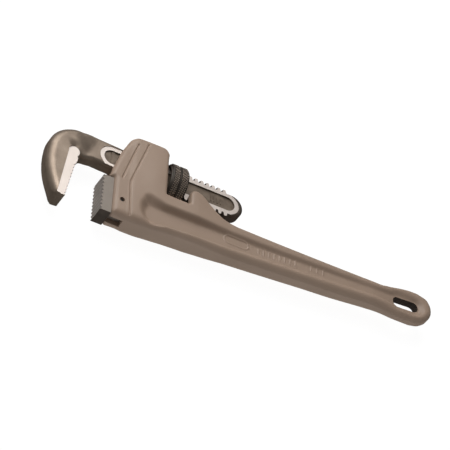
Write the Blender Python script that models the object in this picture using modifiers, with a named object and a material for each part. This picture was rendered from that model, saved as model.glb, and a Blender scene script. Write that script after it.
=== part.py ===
"""Adjustable pipe wrench, 18 inch pattern, laid on its side.

The wrench is drawn in its own datum frame: X runs along the handle from the jaws to the
hang hole, Y from the underside of the handle to the back of the housing, and Z is square
to both sides of the tool.  An empty then carries the datum to the middle of the tool's
footprint, with the lowest point of the adjusting nut on the ground.
"""
import math

import bmesh
import bpy
from mathutils import Matrix, Vector

MM = 0.001

# Whole tool, in the datum frame
HOOK_BACK_X = -64.0 * MM
TAIL_END_X = 370.6 * MM
HOUSING_TOP_Y = 90.6 * MM

# Thread on the hook jaw's shank and in the adjusting nut
PITCH = 6.35 * MM
THREAD_TIP_R = 17.6 * MM
THREAD_BASE_R = 12.5 * MM
THREAD_TIP_HALF = 0.8 * MM
FLANK_SLOPE = 0.4
THREAD_STEPS = 24
THREAD_START_X = 19.0 * MM
THREAD_END_X = 134.0 * MM

# Hook jaw
SHANK_Y = 58.5 * MM
SHANK_HALF = 6.5 * MM
NECK_HALF = 7.0 * MM
HEAD_HALF = 10.5 * MM
BAR_HALF_HEIGHT = 13.6 * MM
TAIL_ARC_X = 135.2 * MM
MILLED_R = 13.3 * MM
MILLED_LEFT_X = 3.3 * MM
MILLED_RIGHT_X = 130.8 * MM
PANEL_HALF_HEIGHT = 8.6 * MM
PANEL_DEPTH = 1.2 * MM
HOOK_TEETH = 10
POCKET_DEPTH = 0.9 * MM
POCKET_BULB_R = 6.0 * MM
HEAD_EDGE = 3.4 * MM
NECK_EDGE = 1.6 * MM
TOOTH_FRONT_SHARE = 0.45
THROAT = (-35.4 * MM, 29.0 * MM)
TIP_CORNER = (-42.6 * MM, -14.6 * MM)

# Heel jaw and its pin
HEEL_FACE_X = -5.5 * MM
HEEL_BACK_X = 5.7 * MM
HEEL_HALF = 10.5 * MM
HEEL_LOW_Y = -15.2 * MM
HEEL_HIGH_Y = 30.0 * MM
HEEL_TEETH = 10
TOOTH_DEPTH = 2.0 * MM
TANG_HALF = 4.5 * MM
TANG_END_X = 20.4 * MM
TANG_LOW_Y = -9.0 * MM
TANG_TOP_Y = 18.0 * MM
PIN_X = 14.8 * MM
PIN_Y = 4.2 * MM
PIN_R = 2.4 * MM
PIN_HALF_LENGTH = 11.6 * MM
PIN_EDGE = 0.4 * MM

# Handle and housing
HOUSING_FRONT_X = 6.0 * MM
FRONT_HALF = 13.0 * MM
CHEEK_HALF = 13.9 * MM
TAIL_HALF = 7.5 * MM
CHANNEL_HALF = 7.7 * MM
CHANNEL_FLOOR_Y = 35.4 * MM
CHANNEL_ROOF_Y = 76.9 * MM
REAR_WALL_X = 61.2 * MM
WINDOW_END_X = 87.7 * MM
WINDOW_FLOOR_Y = 33.0 * MM
EAR_FLOOR_Y = 38.2 * MM
EDGE_ROUND = 3.2 * MM
WEB_HALF = 5.0 * MM
HANG_HOLE_R = 6.1 * MM
HANG_HOLE_LEFT_X = 331.6 * MM
HANG_HOLE_RIGHT_X = 349.6 * MM
HANG_HOLE_Y = 21.4 * MM
HANG_HOLE_TILT = math.radians(4.0)
EAR_SLOT_START_X = 80.0 * MM
EAR_SLOT_END_X = 140.0 * MM
PLAN_HALF_DEPTH = 150.0 * MM

# Adjusting nut
NUT_R = 21.3 * MM
NUT_BORE_R = 15.4 * MM
COLLAR_R = 18.8 * MM
NUT_START_X = 62.7 * MM
KNURL_START_X = 64.1 * MM
NUT_END_X = 81.2 * MM
NUT_GROOVE_X = 72.0 * MM
NUT_GROOVE_DEPTH = 1.3 * MM
NUT_GROOVE_HALF = 1.1 * MM
NUT_CHAMFER = 0.9 * MM
NUT_SIDES = 48

# Springs
COIL_X = 22.0 * MM
COIL_R = 3.5 * MM
COIL_WIRE_R = 0.6 * MM
COIL_TURNS = 6
COIL_STEPS = 12
COIL_LOW_Y = 24.4 * MM
COIL_HIGH_Y = 37.2 * MM
POCKET_R = 5.0 * MM
POCKET_FLOOR_Y = 23.4 * MM
LEAF_LOW_Y = 39.3 * MM
LEAF_THICK = 1.0 * MM
LEAF_HALF_WIDTH = 5.5 * MM
LEAF_FRONT_X = 11.0 * MM
LEAF_REAR_X = 57.5 * MM
LEAF_CURL = 0.4 * MM
LEAF_CURL_LENGTH = 4.0 * MM
RIVET_R = 1.3 * MM
RIVET_FLANGE_R = 2.6 * MM
RIVET_SPIGOT_R = 1.9 * MM
RIVET_FLANGE_THICK = 1.0 * MM
RIVET_SPIGOT_LENGTH = 2.4 * MM
RIVET_HEAD_BELOW = 0.1 * MM

GAP = 0.3 * MM
THREAD_GAP = 0.42 * MM
CUT_OVERSHOOT = 5.0 * MM
MERGE = 0.00001
ARC_STEP = math.radians(15.0)
BORE_SIDES = 24
SMALL_SIDES = 16
ORIGIN = (0.0, 0.0, 0.0)

PIVOT = Vector(((NUT_START_X + NUT_END_X) / 2.0, SHANK_Y, 0.0))


# ---------------------------------------------------------------- scene

def clear_scene():
    for old in list(bpy.data.objects):
        bpy.data.objects.remove(old, do_unlink=True)


def new_collection(name):
    collection = bpy.data.collections.new(name)
    bpy.context.scene.collection.children.link(collection)
    return collection


def new_empty(name, location, parent=None):
    empty = bpy.data.objects.new(name, None)
    empty.location = location
    empty.parent = parent
    PARTS.objects.link(empty)
    return empty


def make_material(name, color, roughness, metallic):
    material = bpy.data.materials.new(name)
    material.use_nodes = True
    shader = material.node_tree.nodes["Principled BSDF"]
    shader.inputs["Base Color"].default_value = (*color, 1.0)
    shader.inputs["Roughness"].default_value = roughness
    shader.inputs["Metallic"].default_value = metallic
    return material


# ---------------------------------------------------------------- shapes

def arc(centre_x, centre_y, radius, start_deg, end_deg):
    """Points of a round stretch of an outline, both ends included."""
    start, end = math.radians(start_deg), math.radians(end_deg)
    count = max(2, math.ceil(abs(end - start) / ARC_STEP))
    angles = [start + (end - start) * i / count for i in range(count + 1)]
    return [(centre_x + radius * math.cos(a), centre_y + radius * math.sin(a)) for a in angles]


def stadium(x_left, x_right, y_middle, radius, tilt=0.0):
    """Outline of a slot with round ends; x_left and x_right are its arc centres."""
    ends = arc(x_right, y_middle, radius, -90.0, 90.0) + arc(x_left, y_middle, radius, 90.0, 270.0)
    centre = Vector(((x_left + x_right) / 2.0, y_middle))
    turn = Matrix.Rotation(tilt, 2)
    return [tuple(centre + turn @ (Vector(p) - centre)) for p in ends]


def mesh_object(name, mesh, origin, cutter):
    """Shift a mesh to its own origin and put it in the collection of parts or of cutters."""
    mesh.transform(Matrix.Translation(-Vector(origin)))
    obj = bpy.data.objects.new(name, mesh)
    obj.location = origin
    obj.parent = DATUM
    (CUTTERS if cutter else PARTS).objects.link(obj)
    if cutter:
        obj.hide_render = True
        obj.display_type = "WIRE"
    return obj


def outline_mesh(name, points, half_thickness, across=False):
    """Extrude a flat outline both ways; across=True draws it in X and Z, thick along Y."""
    curve = bpy.data.curves.new(name, "CURVE")
    curve.dimensions = "2D"
    curve.fill_mode = "BOTH"
    curve.extrude = half_thickness
    spline = curve.splines.new("POLY")
    spline.points.add(len(points) - 1)
    for place, (x, y) in zip(spline.points, points):
        place.co = (x, y, 0.0, 1.0)
    spline.use_cyclic_u = True
    drawn = bpy.data.objects.new(name + "_outline", curve)
    CUTTERS.objects.link(drawn)
    bpy.context.view_layer.update()
    solid = drawn.evaluated_get(bpy.context.evaluated_depsgraph_get())
    mesh = bpy.data.meshes.new_from_object(solid)
    bpy.data.objects.remove(drawn, do_unlink=True)
    work = bmesh.new()
    work.from_mesh(mesh)
    bmesh.ops.remove_doubles(work, verts=work.verts, dist=MERGE)
    bmesh.ops.dissolve_limit(work, angle_limit=0.001, verts=work.verts, edges=work.edges)
    if across:
        bmesh.ops.rotate(work, verts=work.verts, cent=ORIGIN,
                         matrix=Matrix.Rotation(math.pi / 2.0, 3, "X"))
    bmesh.ops.recalc_face_normals(work, faces=work.faces)
    work.to_mesh(mesh)
    work.free()
    return mesh


def outline_cutter(name, points, z_low, z_high):
    mesh = outline_mesh(name, points, (z_high - z_low) / 2.0)
    mesh.transform(Matrix.Translation((0.0, 0.0, (z_low + z_high) / 2.0)))
    return mesh_object(name, mesh, ORIGIN, True)


def box_cutter(name, low, high):
    work = bmesh.new()
    bmesh.ops.create_cube(work, size=1.0)
    size = Vector(high) - Vector(low)
    bmesh.ops.scale(work, verts=work.verts, vec=size)
    bmesh.ops.translate(work, verts=work.verts, vec=(Vector(high) + Vector(low)) / 2.0)
    mesh = bpy.data.meshes.new(name)
    work.to_mesh(mesh)
    work.free()
    return mesh_object(name, mesh, ORIGIN, True)


def rod_mesh(name, radius, length, sides, centre, axis):
    """Solid cylinder about X, Y or Z, with its middle at centre."""
    work = bmesh.new()
    bmesh.ops.create_cone(work, cap_ends=True, segments=sides, radius1=radius, radius2=radius,
                          depth=length)
    turns = {"X": Matrix.Rotation(math.pi / 2.0, 3, "Y"), "Y": Matrix.Rotation(math.pi / 2.0, 3, "X")}
    if axis in turns:
        bmesh.ops.rotate(work, verts=work.verts, cent=ORIGIN, matrix=turns[axis])
    bmesh.ops.translate(work, verts=work.verts, vec=centre)
    mesh = bpy.data.meshes.new(name)
    work.to_mesh(mesh)
    work.free()
    return mesh


def rod_cutter(name, radius, length, sides, centre, axis):
    return mesh_object(name, rod_mesh(name, radius, length, sides, centre, axis), ORIGIN, True)


def thread_cutter(name, start_x, end_x, grow):
    """One right-hand helical tooth about the shank's axis; grow widens it for the nut."""
    tip_r = THREAD_TIP_R + grow
    tip_half = THREAD_TIP_HALF + grow - grow * FLANK_SLOPE
    base_half = tip_half + (tip_r - THREAD_BASE_R) * FLANK_SLOPE
    profile = [(-base_half, THREAD_BASE_R), (base_half, THREAD_BASE_R)]
    profile += [(tip_half, tip_r), (-tip_half, tip_r)]
    turns = round((end_x - start_x) / PITCH)
    steps = turns * THREAD_STEPS
    work = bmesh.new()
    corners = [work.verts.new((start_x + x, SHANK_Y + r, 0.0)) for x, r in profile]
    face = work.faces.new(corners)
    bmesh.ops.spin(work, geom=[face] + list(face.edges) + corners, cent=(0.0, SHANK_Y, 0.0),
                   axis=(1.0, 0.0, 0.0), dvec=(PITCH / THREAD_STEPS, 0.0, 0.0),
                   angle=turns * 2.0 * math.pi, steps=steps, use_duplicate=False)
    bmesh.ops.recalc_face_normals(work, faces=work.faces)
    mesh = bpy.data.meshes.new(name)
    work.to_mesh(mesh)
    work.free()
    return mesh_object(name, mesh, ORIGIN, True)


def saw_line(start, end, count, depth, side):
    """Zigzag from start to end; tips lie on the line and roots lie depth to one side of it."""
    start, end = Vector(start), Vector(end)
    along = (end - start) / count
    inward = Vector((-along.y, along.x)).normalized() * depth * side
    points = []
    for i in range(count):
        points.append(tuple(start + along * i))
        points.append(tuple(start + along * (i + TOOTH_FRONT_SHARE) + inward))
    points.append(tuple(end))
    return points


def boolean(obj, cutter, operation="DIFFERENCE"):
    step = obj.modifiers.new(cutter.name, "BOOLEAN")
    step.operation = operation
    step.solver = "EXACT"
    step.object = cutter


def round_edges(obj, width, segments, angle_deg=30.0):
    step = obj.modifiers.new("rounded_edges", "BEVEL")
    step.width = width
    step.segments = segments
    step.limit_method = "ANGLE"
    step.angle_limit = math.radians(angle_deg)
    step.use_clamp_overlap = True


def finish_part(obj, color, roughness, metallic, smooth_deg=None):
    obj.data.materials.clear()
    obj.data.materials.append(make_material(obj.name, color, roughness, metallic))
    if smooth_deg is not None:
        obj.data.shade_smooth()
        obj.data.set_sharp_from_angle(angle=math.radians(smooth_deg))


# ---------------------------------------------------------------- handle and housing

def handle_outline():
    """Side view of the casting: housing, nut window, ears, grip and tail."""
    front = [(6.0, 30.6), (1.4, 31.4), (2.3, 37.5), (5.6, 47.5), (9.0, 58.5), (12.6, 69.0)]
    front += [(18.3, 81.0)]
    top = [(21.6, 86.0), (25.5, 89.4), (30.5, 90.6), (53.5, 90.6), (58.4, 88.8), (60.8, 84.8)]
    ears = [(87.7, 46.6), (89.4, 50.4), (92.9, 52.6), (97.0, 52.2), (103.0, 49.6), (111.0, 42.6)]
    back = [(121.0, 35.2), (130.0, 31.4), (142.0, 29.8), (213.0, 29.5), (300.0, 30.8)]
    back += [(318.0, 33.0), (334.0, 36.6), (346.0, 38.6)]
    tail = arc(354.6, 23.0, 16.0, 90.0, -75.0)
    low = [(350.0, 6.6), (329.0, 8.2), (304.0, 9.8), (226.0, 3.4), (157.0, -3.6)]
    under = [(69.0, -10.8), (46.0, -13.4), (30.0, -14.2), (8.0, -14.2)]
    window = [(REAR_WALL_X, 80.0 * MM), (REAR_WALL_X, WINDOW_FLOOR_Y)]
    window += [(WINDOW_END_X, WINDOW_FLOOR_Y)]

    def metres(points):
        return [(x * MM, y * MM) for x, y in points]

    start = [(HOUSING_FRONT_X, -12.2 * MM)]
    return start + metres(front + top) + window + metres(ears + back + tail + low + under)


def handle_plan():
    """Half thickness of the casting along its length, as an outline seen from above."""
    half = [(-2.0 * MM, FRONT_HALF), (22.0 * MM, FRONT_HALF), (25.0 * MM, CHEEK_HALF)]
    half += [(96.0 * MM, CHEEK_HALF), (135.0 * MM, 10.8 * MM), (300.0 * MM, 9.0 * MM)]
    half += [(322.0 * MM, TAIL_HALF), (380.0 * MM, TAIL_HALF)]
    return half + [(x, -z) for x, z in reversed(half)]


def grip_recess(side):
    """Hollow in one side of the grip, which leaves the web of the I section."""
    outline = [(45.0, 14.6), (42.0, 8.0), (43.5, -2.0), (51.0, -6.0), (70.0, -5.4)]
    outline += [(157.0, 1.6), (226.0, 7.0), (304.0, 14.0), (326.0, 13.4)]
    points = [(x * MM, y * MM) for x, y in outline]
    points += arc(350.0 * MM, 22.4 * MM, 8.8 * MM, -90.0, 90.0)
    outline = [(330.0, 29.0), (300.0, 25.0), (213.0, 20.8), (142.0, 18.8), (54.0, 16.8)]
    points += [(x * MM, y * MM) for x, y in outline]
    low, high = sorted((side * WEB_HALF, side * (CHEEK_HALF + CUT_OVERSHOOT)))
    return outline_cutter("recess_cutter_" + ("top" if side > 0 else "under"), points, low, high)


def build_handle():
    half = CHEEK_HALF + CUT_OVERSHOOT
    handle = mesh_object("handle", outline_mesh("handle", handle_outline(), half), ORIGIN, False)
    plan = outline_mesh("handle_plan", handle_plan(), PLAN_HALF_DEPTH, across=True)
    boolean(handle, mesh_object("handle_plan_cutter", plan, ORIGIN, True), "INTERSECT")
    round_edges(handle, EDGE_ROUND, 2)
    for side in (1.0, -1.0):
        boolean(handle, grip_recess(side))
    wide = CHANNEL_HALF
    channel = box_cutter("channel_cutter", (-CUT_OVERSHOOT, CHANNEL_FLOOR_Y, -wide),
                         (REAR_WALL_X + CUT_OVERSHOOT, CHANNEL_ROOF_Y, wide))
    boolean(handle, channel)
    ear_slot = box_cutter("ear_cutter", (EAR_SLOT_START_X, EAR_FLOOR_Y, -wide),
                          (EAR_SLOT_END_X, CHANNEL_ROOF_Y, wide))
    boolean(handle, ear_slot)
    tang = TANG_HALF + GAP
    slot = box_cutter("tang_cutter", (-CUT_OVERSHOOT, HEEL_LOW_Y - 2.0 * CUT_OVERSHOOT, -tang),
                      (TANG_END_X + GAP * 2.0, TANG_TOP_Y + GAP, tang))
    boolean(handle, slot)
    boolean(handle, rod_cutter("pin_bore_cutter", PIN_R + GAP, 4.0 * CHEEK_HALF, BORE_SIDES,
                               (PIN_X, PIN_Y, 0.0), "Z"))
    depth = CHANNEL_FLOOR_Y + CUT_OVERSHOOT - POCKET_FLOOR_Y
    centre = (COIL_X, POCKET_FLOOR_Y + depth / 2.0, 0.0)
    boolean(handle, rod_cutter("coil_pocket_cutter", POCKET_R, depth, BORE_SIDES, centre, "Y"))
    hole = stadium(HANG_HOLE_LEFT_X, HANG_HOLE_RIGHT_X, HANG_HOLE_Y, HANG_HOLE_R, HANG_HOLE_TILT)
    boolean(handle, outline_cutter("hang_hole_cutter", hole, -half, half))
    finish_part(handle, (0.27, 0.21, 0.165), 0.5, 0.1, 40.0)
    return handle


# ---------------------------------------------------------------- heel jaw

def build_heel_jaw():
    corners = [(HEEL_FACE_X, HEEL_LOW_Y), (HEEL_BACK_X, HEEL_LOW_Y), (HEEL_BACK_X, HEEL_HIGH_Y)]
    corners.append((HEEL_FACE_X, HEEL_HIGH_Y - 0.6 * MM))
    jaw = mesh_object("heel_jaw", outline_mesh("heel_jaw", corners, HEEL_HALF), ORIGIN, False)
    saw = saw_line((HEEL_FACE_X, HEEL_HIGH_Y), (HEEL_FACE_X, HEEL_LOW_Y), HEEL_TEETH, TOOTH_DEPTH, 1.0)
    clear_x = HEEL_FACE_X - CUT_OVERSHOOT
    outer = [(clear_x, HEEL_LOW_Y - CUT_OVERSHOOT), (clear_x, HEEL_HIGH_Y + CUT_OVERSHOOT)]
    half = HEEL_HALF + CUT_OVERSHOOT
    boolean(jaw, outline_cutter("heel_tooth_cutter", saw + outer, -half, half))
    tang = box_cutter("heel_tang", (HEEL_BACK_X - CUT_OVERSHOOT, TANG_LOW_Y, -TANG_HALF),
                      (TANG_END_X, TANG_TOP_Y, TANG_HALF))
    boolean(jaw, tang, "UNION")
    boolean(jaw, rod_cutter("heel_bore_cutter", PIN_R + GAP, 4.0 * TANG_HALF, BORE_SIDES,
                            (PIN_X, PIN_Y, 0.0), "Z"))
    finish_part(jaw, (0.24, 0.22, 0.20), 0.4, 0.8)
    return jaw


def build_heel_pin():
    mesh = rod_mesh("heel_jaw_pin", PIN_R, 2.0 * PIN_HALF_LENGTH, BORE_SIDES, (PIN_X, PIN_Y, 0.0), "Z")
    pin = mesh_object("heel_jaw_pin", mesh, (PIN_X, PIN_Y, 0.0), False)
    round_edges(pin, PIN_EDGE, 1)
    finish_part(pin, (0.12, 0.11, 0.10), 0.4, 1.0, 40.0)
    return pin


# ---------------------------------------------------------------- hook jaw

def head_outline():
    """Side view of the hook's thick head, from the throat round the back to the tip."""
    throat = [(-27.0, 43.8), (-30.4, 39.8), (-33.6, 35.2)]
    tip = [(-50.0, -15.0), (-53.6, -11.9), (-57.0, -2.5), (-60.2, 7.0), (-62.6, 16.0)]
    back = [(-64.0, 27.0), (-64.0, 41.0), (-61.7, 52.0), (-57.0, 60.4), (-50.2, 67.6), (-42.6, 72.6)]
    crown = [(-35.0, 74.8), (-28.0, 74.8)]
    points = [(x * MM, y * MM) for x, y in throat]
    points += [THROAT, TIP_CORNER]
    points += [(x * MM, y * MM) for x, y in tip + back + crown]
    return points


def shank_outline():
    low, high = SHANK_Y - BAR_HALF_HEIGHT, SHANK_Y + BAR_HALF_HEIGHT
    neck = [(16.0 * MM, high), (4.0 * MM, 73.4 * MM), (-30.0 * MM, 74.0 * MM), (-30.0 * MM, 46.4 * MM)]
    neck += [(-16.0 * MM, 45.6 * MM), (4.0 * MM, 45.6 * MM), (16.0 * MM, low)]
    return neck + arc(TAIL_ARC_X, SHANK_Y, BAR_HALF_HEIGHT, -90.0, 90.0)


def milled_outline():
    """Area milled flat on each side of the shank; round at both ends, past the teeth between."""
    wide = THREAD_TIP_R + CUT_OVERSHOOT
    left = arc(MILLED_LEFT_X, SHANK_Y, MILLED_R, 90.0, 270.0)
    right = arc(MILLED_RIGHT_X, SHANK_Y, MILLED_R, -90.0, 90.0)
    low = [(16.0 * MM, SHANK_Y - MILLED_R), (16.0 * MM, SHANK_Y - wide)]
    low += [(MILLED_RIGHT_X, SHANK_Y - wide)]
    return left + low + right + [(MILLED_RIGHT_X, SHANK_Y + wide), (16.0 * MM, SHANK_Y + wide),
                                 (16.0 * MM, SHANK_Y + MILLED_R)]


def pocket_outline():
    """Flat milled along the tooth face on each side of the head, with its round upper end."""
    bulb = arc(-38.3 * MM, 43.9 * MM, POCKET_BULB_R, -35.0, 190.0)
    strip = [(-51.4, -13.6), (-43.0, -16.0), (-38.0, -16.0), (-31.4, 29.0)]
    return bulb + [(x * MM, y * MM) for x, y in strip]


def build_hook_jaw():
    hook = mesh_object("hook_jaw", outline_mesh("hook_jaw", shank_outline(), NECK_HALF), PIVOT, False)
    round_edges(hook, NECK_EDGE, 1)
    head = mesh_object("hook_head", outline_mesh("hook_head", head_outline(), HEAD_HALF), ORIGIN, True)
    round_edges(head, HEAD_EDGE, 2)
    boolean(hook, head, "UNION")
    past = HEAD_HALF + CUT_OVERSHOOT
    for side, word in ((1.0, "top"), (-1.0, "under")):
        low, high = sorted((side * SHANK_HALF, side * past))
        boolean(hook, outline_cutter("milled_cutter_" + word, milled_outline(), low, high))
        low, high = sorted((side * (HEAD_HALF - POCKET_DEPTH), side * past))
        boolean(hook, outline_cutter("pocket_cutter_" + word, pocket_outline(), low, high))
    thread = thread_cutter("shank_thread", THREAD_START_X, THREAD_END_X, 0.0)
    reach = THREAD_TIP_R + CUT_OVERSHOOT
    slab = box_cutter("thread_slab", (0.0, SHANK_Y - reach, -SHANK_HALF),
                      (THREAD_END_X + 2.0 * PITCH, SHANK_Y + reach, SHANK_HALF))
    boolean(slab, thread, "INTERSECT")
    boolean(hook, slab, "UNION")
    panel = stadium(MILLED_LEFT_X, MILLED_RIGHT_X, SHANK_Y, PANEL_HALF_HEIGHT)
    for side, word in ((1.0, "top"), (-1.0, "under")):
        low, high = sorted((side * (SHANK_HALF - PANEL_DEPTH), side * past))
        boolean(hook, outline_cutter("panel_cutter_" + word, panel, low, high))
    saw = saw_line(THROAT, TIP_CORNER, HOOK_TEETH, TOOTH_DEPTH, -1.0)
    clear_x = CUT_OVERSHOOT
    outer = [(TIP_CORNER[0] + clear_x, TIP_CORNER[1] - clear_x), (THROAT[0] + clear_x, THROAT[1])]
    boolean(hook, outline_cutter("hook_tooth_cutter", saw + outer, -past, past))
    finish_part(hook, (0.13, 0.11, 0.085), 0.4, 0.8, 35.0)
    return hook


# ---------------------------------------------------------------- adjusting nut

def build_nut():
    """Turned blank with a finger groove, then threaded for the shank."""
    outside = [(NUT_END_X, NUT_R - NUT_CHAMFER), (NUT_END_X - NUT_CHAMFER, NUT_R)]
    outside += [(NUT_GROOVE_X + NUT_GROOVE_HALF, NUT_R), (NUT_GROOVE_X, NUT_R - NUT_GROOVE_DEPTH)]
    outside += [(NUT_GROOVE_X - NUT_GROOVE_HALF, NUT_R), (KNURL_START_X + NUT_CHAMFER, NUT_R)]
    outside += [(KNURL_START_X, NUT_R - NUT_CHAMFER), (KNURL_START_X, COLLAR_R), (NUT_START_X, COLLAR_R)]
    ring = [(NUT_END_X, NUT_BORE_R)] + outside + [(NUT_START_X, NUT_BORE_R)]
    work = bmesh.new()
    verts = [work.verts.new((x, SHANK_Y + r, 0.0)) for x, r in ring]
    for a, b in zip(verts, verts[1:] + verts[:1]):
        work.edges.new((a, b))
    mesh = bpy.data.meshes.new("adjusting_nut")
    work.to_mesh(mesh)
    work.free()
    nut = mesh_object("adjusting_nut", mesh, PIVOT, False)
    turn = nut.modifiers.new("turned", "SCREW")
    turn.axis = "X"
    turn.steps = NUT_SIDES
    turn.render_steps = NUT_SIDES
    turn.use_merge_vertices = True
    turn.merge_threshold = MERGE
    turn.use_normal_calculate = True
    turn.use_smooth_shade = False
    bore_thread = thread_cutter("nut_thread", THREAD_START_X + 6.0 * PITCH, THREAD_START_X + 11.0 * PITCH,
                                THREAD_GAP)
    boolean(nut, bore_thread)
    finish_part(nut, (0.055, 0.05, 0.045), 0.5, 0.9)
    return nut


# ---------------------------------------------------------------- springs and rivet

def build_flat_spring():
    low, high = LEAF_LOW_Y, LEAF_LOW_Y + LEAF_THICK
    bend_x = LEAF_FRONT_X + LEAF_CURL_LENGTH
    side = [(LEAF_FRONT_X, low - LEAF_CURL), (bend_x, low), (LEAF_REAR_X, low), (LEAF_REAR_X, high),
            (bend_x, high), (LEAF_FRONT_X, high - LEAF_CURL)]
    leaf = mesh_object("flat_spring", outline_mesh("flat_spring", side, LEAF_HALF_WIDTH), PIVOT, False)
    hole = rod_cutter("leaf_hole_cutter", RIVET_R + GAP, 8.0 * LEAF_THICK, SMALL_SIDES,
                      (COIL_X, LEAF_LOW_Y, 0.0), "Y")
    boolean(leaf, hole)
    finish_part(leaf, (0.10, 0.10, 0.11), 0.35, 1.0)
    return leaf


def build_rivet():
    """Turned rivet: its stem fills the leaf's hole and its spigot centres the coil spring."""
    top = LEAF_LOW_Y + LEAF_THICK - RIVET_HEAD_BELOW
    flange_top = LEAF_LOW_Y - GAP
    flange_low = flange_top - RIVET_FLANGE_THICK
    spigot_low = flange_low - RIVET_SPIGOT_LENGTH
    profile = [(0.0, top), (RIVET_R, top), (RIVET_R, flange_top), (RIVET_FLANGE_R, flange_top),
               (RIVET_FLANGE_R, flange_low), (RIVET_SPIGOT_R, flange_low), (RIVET_SPIGOT_R, spigot_low),
               (0.0, spigot_low)]
    work = bmesh.new()
    verts = [work.verts.new((COIL_X + r, y, 0.0)) for r, y in profile]
    edges = [work.edges.new(pair) for pair in zip(verts, verts[1:])]
    bmesh.ops.spin(work, geom=verts + edges, cent=(COIL_X, 0.0, 0.0), axis=(0.0, 1.0, 0.0),
                   angle=2.0 * math.pi, steps=SMALL_SIDES, use_duplicate=False)
    bmesh.ops.remove_doubles(work, verts=work.verts, dist=MERGE)
    bmesh.ops.recalc_face_normals(work, faces=work.faces)
    mesh = bpy.data.meshes.new("spring_rivet")
    work.to_mesh(mesh)
    work.free()
    rivet = mesh_object("spring_rivet", mesh, PIVOT, False)
    finish_part(rivet, (0.2, 0.2, 0.2), 0.4, 1.0, 40.0)
    return rivet


def build_coil_spring():
    """Round wire wound about Y; its ends lie flat on their seats."""
    curve = bpy.data.curves.new("coil_spring", "CURVE")
    curve.dimensions = "3D"
    curve.bevel_depth = COIL_WIRE_R
    curve.bevel_resolution = 2
    curve.use_fill_caps = True
    count = COIL_TURNS * COIL_STEPS
    spline = curve.splines.new("POLY")
    spline.points.add(count)
    height = COIL_HIGH_Y - COIL_LOW_Y
    for i, point in enumerate(spline.points):
        angle = 2.0 * math.pi * i / COIL_STEPS
        across, deep = COIL_R * math.cos(angle), COIL_R * math.sin(angle)
        point.co = (COIL_X + across, COIL_LOW_Y + height * i / count, deep, 1.0)
    drawn = bpy.data.objects.new("coil_curve", curve)
    CUTTERS.objects.link(drawn)
    bpy.context.view_layer.update()
    solid = drawn.evaluated_get(bpy.context.evaluated_depsgraph_get())
    mesh = bpy.data.meshes.new_from_object(solid)
    bpy.data.objects.remove(drawn, do_unlink=True)
    work = bmesh.new()
    work.from_mesh(mesh)
    bmesh.ops.remove_doubles(work, verts=work.verts, dist=MERGE)
    work.to_mesh(mesh)
    work.free()
    spring = mesh_object("coil_spring", mesh, (0.0, 0.0, 0.0), False)
    finish_part(spring, (0.15, 0.15, 0.16), 0.35, 1.0, 60.0)
    return spring


# ---------------------------------------------------------------- assembly

def carry(obj, empty):
    """Hang a moving piece on the empty that marks its joint, without moving it."""
    obj.parent = empty
    obj.location = Vector(obj.location) - PIVOT


clear_scene()
PARTS = new_collection("pipe_wrench")
CUTTERS = new_collection("cutters")
MIDDLE = ((HOOK_BACK_X + TAIL_END_X) / 2.0, (HEEL_LOW_Y + HOUSING_TOP_Y) / 2.0)
DATUM = new_empty("wrench_datum", (-MIDDLE[0], -MIDDLE[1], NUT_R))
ROCK_PIVOT = new_empty("jaw_rock_pivot", PIVOT, DATUM)

build_handle()
build_heel_jaw()
build_heel_pin()
build_coil_spring()
for moving in (build_flat_spring(), build_rivet(), build_hook_jaw(), build_nut()):
    carry(moving, ROCK_PIVOT)
bpy.context.view_layer.update()
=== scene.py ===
# %% [markdown]
# # A pipe wrench, finished over its own frame
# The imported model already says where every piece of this 18 inch wrench is and how it moves.
# This lesson builds the finished surfaces round it: a smooth iron casting, a forged hook with a
# milled and threaded shank, a knurled nut, a toothed heel jaw and a coil spring. The flat spring, its
# rivet and the heel jaw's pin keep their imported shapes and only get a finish.
# Everything is drawn in millimetres in the wrench's own drawing, then carried into the frame by
# one matrix, so that a size can be read here as it would be on a workshop drawing. On the drawing
# X runs along the handle from the jaws, Y from the belly of the handle to the back of the housing,
# and Z stands square to the side, with 0 on the parting plane.

# %% The frame
import math

import bmesh
import bpy
import numpy as np
from mathutils import Matrix, Vector


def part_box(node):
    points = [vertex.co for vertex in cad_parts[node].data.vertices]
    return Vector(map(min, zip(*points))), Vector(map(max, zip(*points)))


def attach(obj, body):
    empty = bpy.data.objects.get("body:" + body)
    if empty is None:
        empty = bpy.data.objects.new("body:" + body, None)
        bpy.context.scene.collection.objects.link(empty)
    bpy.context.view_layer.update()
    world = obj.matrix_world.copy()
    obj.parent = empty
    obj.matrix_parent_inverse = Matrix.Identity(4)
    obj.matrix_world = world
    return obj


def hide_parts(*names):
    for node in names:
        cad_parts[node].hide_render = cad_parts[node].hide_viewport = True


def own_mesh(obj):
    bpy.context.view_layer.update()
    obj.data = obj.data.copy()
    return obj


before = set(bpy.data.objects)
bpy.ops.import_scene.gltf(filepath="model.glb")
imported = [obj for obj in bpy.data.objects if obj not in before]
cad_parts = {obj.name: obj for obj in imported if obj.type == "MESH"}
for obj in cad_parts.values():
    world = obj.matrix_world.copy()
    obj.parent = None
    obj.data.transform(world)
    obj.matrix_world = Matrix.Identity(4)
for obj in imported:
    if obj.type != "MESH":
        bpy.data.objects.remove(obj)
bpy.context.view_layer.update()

MM = 0.001
NUT_LOW, NUT_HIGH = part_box("adjusting_nut")
NUT_DATUM = Vector((71.95, 58.5, 0.0))  # the nut's middle on the drawing
TO_FRAME = Matrix.Translation((NUT_LOW + NUT_HIGH) / 2 - NUT_DATUM * MM) @ Matrix.Scale(MM, 4)
print("frame:", len(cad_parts), "pieces, datum at", TO_FRAME.translation)

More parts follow.
